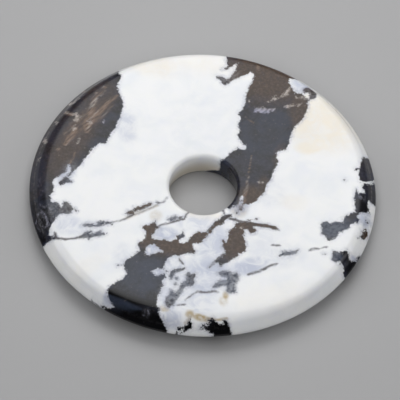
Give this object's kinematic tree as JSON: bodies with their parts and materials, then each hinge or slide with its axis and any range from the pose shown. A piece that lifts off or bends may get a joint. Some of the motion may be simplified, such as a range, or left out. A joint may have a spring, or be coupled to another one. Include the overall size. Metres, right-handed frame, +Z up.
{
  "type": "stone donut pendant",
  "caption": "Flat polished stone disc with a drilled central hole, sloped edges and rounded hole mouths, worn on a cord or set as an ornament.",
  "frame": {"origin": "centre of the lower flat face, on the hole's axis", "axes": "+Z up along the hole's axis, square to both flat faces; the disc is round, so X and Y may point anywhere, and the stone's markings are laid out with -Y towards the viewer"},
  "size_m": [0.04, 0.04, 0.0036],
  "materials": {
    "stone": "polished"
  },
  "bodies": {
    "root": {"stone_donut": "stone"}
  },
  "joints": []
}
